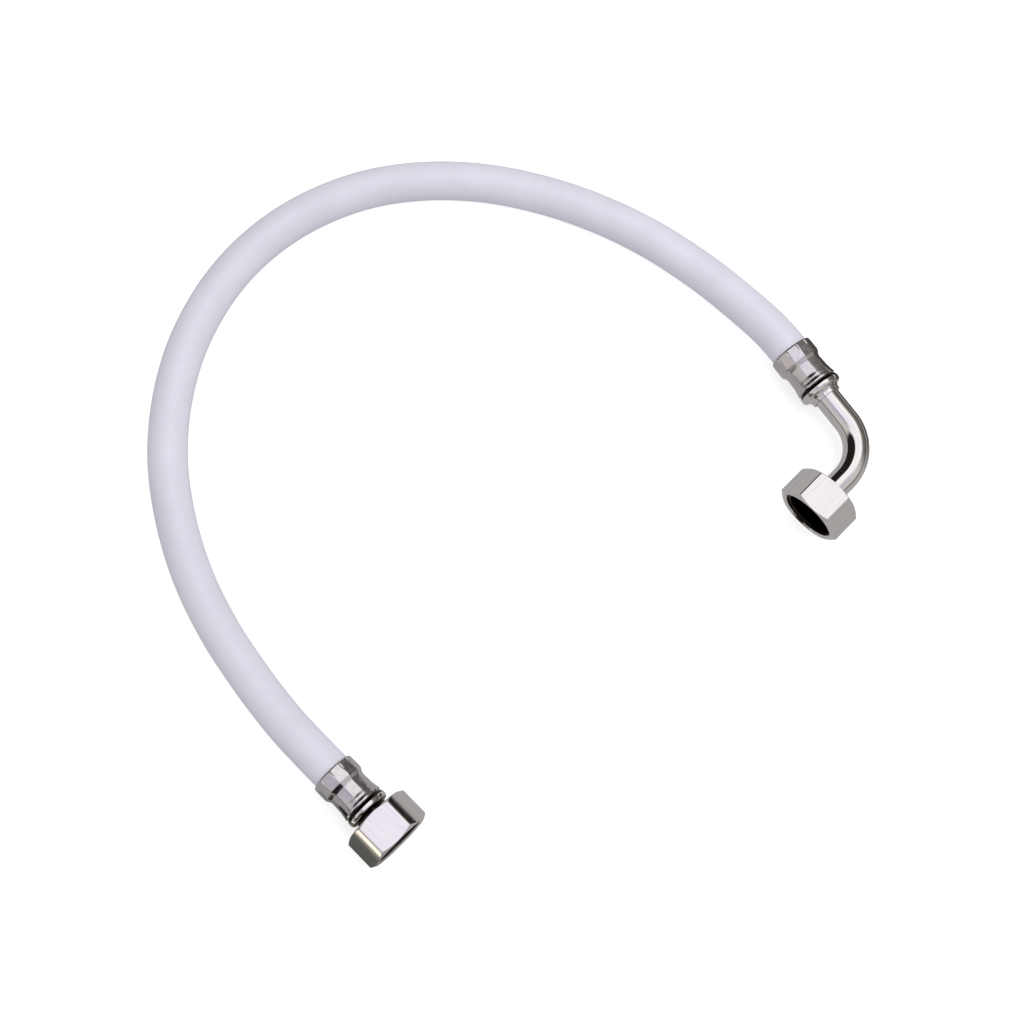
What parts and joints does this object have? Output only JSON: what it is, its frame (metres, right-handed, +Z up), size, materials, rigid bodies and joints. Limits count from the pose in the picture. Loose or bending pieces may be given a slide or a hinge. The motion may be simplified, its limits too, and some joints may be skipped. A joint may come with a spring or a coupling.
{
  "type": "flexible supply line",
  "caption": "Flexible plumbing supply line: sheathed braided hose in an open loop, with a straight swivel-nut end and a bent-tube elbow swivel-nut end.",
  "frame": {"origin": "on the surface the line lies on, below the middle of the box around the two end fittings, hose left out", "axes": "+X is the way the straight end's nut opens, -Y is the way the elbow end's nut opens, +Z is up from the surface"},
  "size_m": [0.2479, 0.2577, 0.024],
  "materials": {
    "white_sheath": "satin",
    "polyester_braid": "matte",
    "epdm_liner": "matte",
    "nickel_plate": "polished",
    "stainless_ferrule": "gloss",
    "rubber_washer": "matte"
  },
  "bodies": {
    "line": {"hose_cover": "white_sheath", "braid_sleeve": "polyester_braid", "inner_tube": "epdm_liner", "straight_nipple": "nickel_plate", "straight_ferrule": "stainless_ferrule", "elbow_tail": "nickel_plate", "elbow_tube": "nickel_plate", "elbow_flange": "nickel_plate", "elbow_ferrule": "stainless_ferrule"},
    "straight_washer": {"straight_seal": "rubber_washer"},
    "straight_nut": {"straight_nut": "nickel_plate"},
    "elbow_washer": {"elbow_seal": "rubber_washer"},
    "elbow_nut": {"elbow_nut": "nickel_plate"}
  },
  "joints": [
    {"name": "straight_nut_slide", "type": "slide", "parent": "line", "child": "straight_washer", "axis": [1, 0, 0], "range_m": [0, 0.0025]},
    {"name": "straight_nut_spin", "type": "hinge", "parent": "straight_washer", "child": "straight_nut", "pos_m": [-0.0144, -0.1147, 0.012], "axis": [1, 0, 0], "continuous": true},
    {"name": "elbow_nut_slide", "type": "slide", "parent": "line", "child": "elbow_washer", "axis": [0, -1, 0], "range_m": [0, 0.0025]},
    {"name": "elbow_nut_spin", "type": "hinge", "parent": "elbow_washer", "child": "elbow_nut", "pos_m": [0.0217, 0.0905, 0.012], "axis": [0, -1, 0], "continuous": true}
  ]
}
